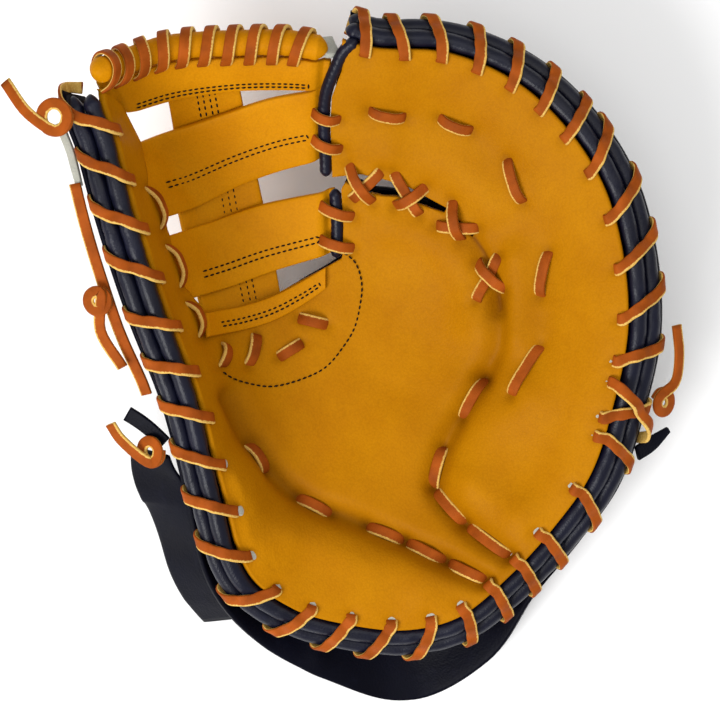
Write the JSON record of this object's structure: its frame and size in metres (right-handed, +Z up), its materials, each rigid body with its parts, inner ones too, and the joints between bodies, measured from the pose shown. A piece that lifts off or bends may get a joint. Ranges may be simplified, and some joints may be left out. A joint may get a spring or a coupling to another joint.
{
  "type": "first baseman mitt",
  "caption": "Leather first baseman mitt lying palm up: deep pocket, laced rim, barred web at the thumb side and a long finger panel.",
  "frame": {"origin": "centre of the mitt's outline at the surface it lies on", "axes": "+X from the thumb to the little finger, +Y from the heel to the finger tips, +Z up out of the pocket"},
  "size_m": [0.3566, 0.353, 0.1243],
  "materials": {
    "palm_leather": "satin",
    "back_leather": "satin",
    "binding_leather": "satin",
    "lace_rawhide": "matte",
    "felt": "matte"
  },
  "bodies": {
    "root": {"palm": "palm_leather", "web_top_bar": "palm_leather", "web_upper_bar": "palm_leather", "web_lower_bar": "palm_leather", "web_base_bar": "palm_leather", "web_spine": "palm_leather", "web_top_roll": "palm_leather", "finger_back": "back_leather", "thumb_back": "back_leather", "palm_side_roll": "binding_leather", "back_side_roll": "binding_leather", "finger_edge_binding": "binding_leather", "palm_edge_binding": "binding_leather", "thumb_strap": "back_leather", "thumb_tab": "back_leather", "pinky_tab": "back_leather", "thumb_lining": "felt", "finger_lining": "felt", "thumb_rim_lace": "lace_rawhide", "finger_rim_lace": "lace_rawhide", "slit_lace_under": "lace_rawhide", "slit_lace_over": "lace_rawhide", "finger_pad_lace": "lace_rawhide", "heel_pad_lace": "lace_rawhide", "finger_edge_lace": "lace_rawhide", "palm_edge_lace": "lace_rawhide", "thumb_edge_lace": "lace_rawhide", "web_base_lace": "lace_rawhide", "web_top_lace": "lace_rawhide", "thumb_side_lace": "lace_rawhide", "thumb_tip_knot": "lace_rawhide", "thumb_side_knot": "lace_rawhide", "strap_knot": "lace_rawhide", "pinky_knot": "lace_rawhide"}
  },
  "joints": []
}
